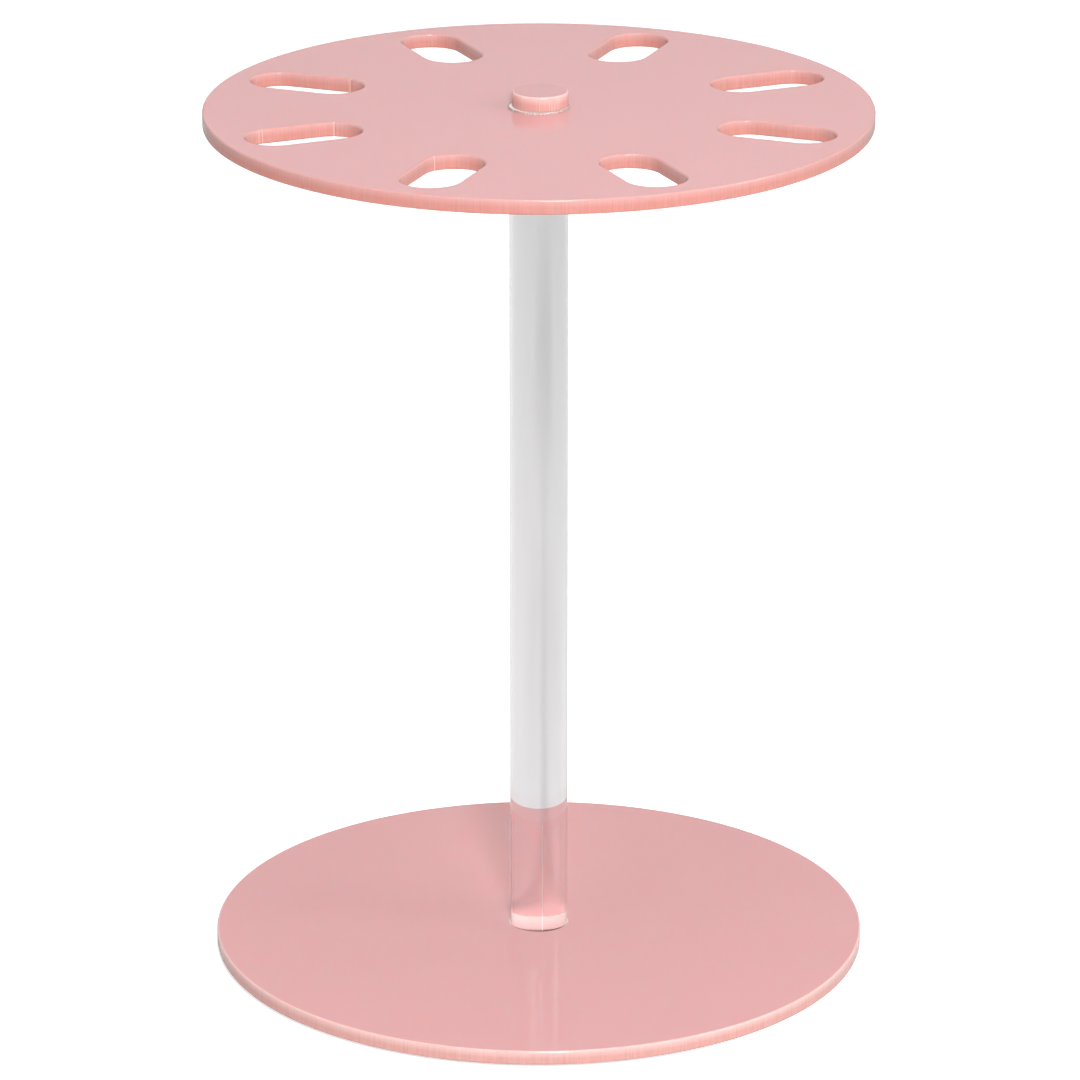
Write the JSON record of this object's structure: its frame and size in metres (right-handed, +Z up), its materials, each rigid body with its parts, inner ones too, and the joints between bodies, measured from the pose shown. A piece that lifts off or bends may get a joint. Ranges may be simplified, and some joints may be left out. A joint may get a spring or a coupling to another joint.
{
  "type": "worktop rack for salon hand tools",
  "caption": "Free-standing worktop rack for salon hand tools: a round slotted plate on a clear post that stands in an equal round base.",
  "frame": {"origin": "centre of the resting plane under the base, on the post's axis", "axes": "+Z up along the post's axis; +X and +Y each lie midway between two neighbouring slots, and -Y is the side that faces the viewer"},
  "size_m": [0.225, 0.225, 0.3071],
  "materials": {
    "pink_acrylic": "polished",
    "clear_acrylic": "polished",
    "cement": "rough, sparkling",
    "foot_silicone": "satin"
  },
  "bodies": {
    "root": {"base_plate": "pink_acrylic", "post": "clear_acrylic", "top_plate": "pink_acrylic", "cap": "pink_acrylic", "base_cement": "cement", "top_cement": "cement", "cap_cement": "cement", "foot_1": "foot_silicone", "foot_2": "foot_silicone", "foot_3": "foot_silicone", "foot_4": "foot_silicone"}
  },
  "joints": []
}
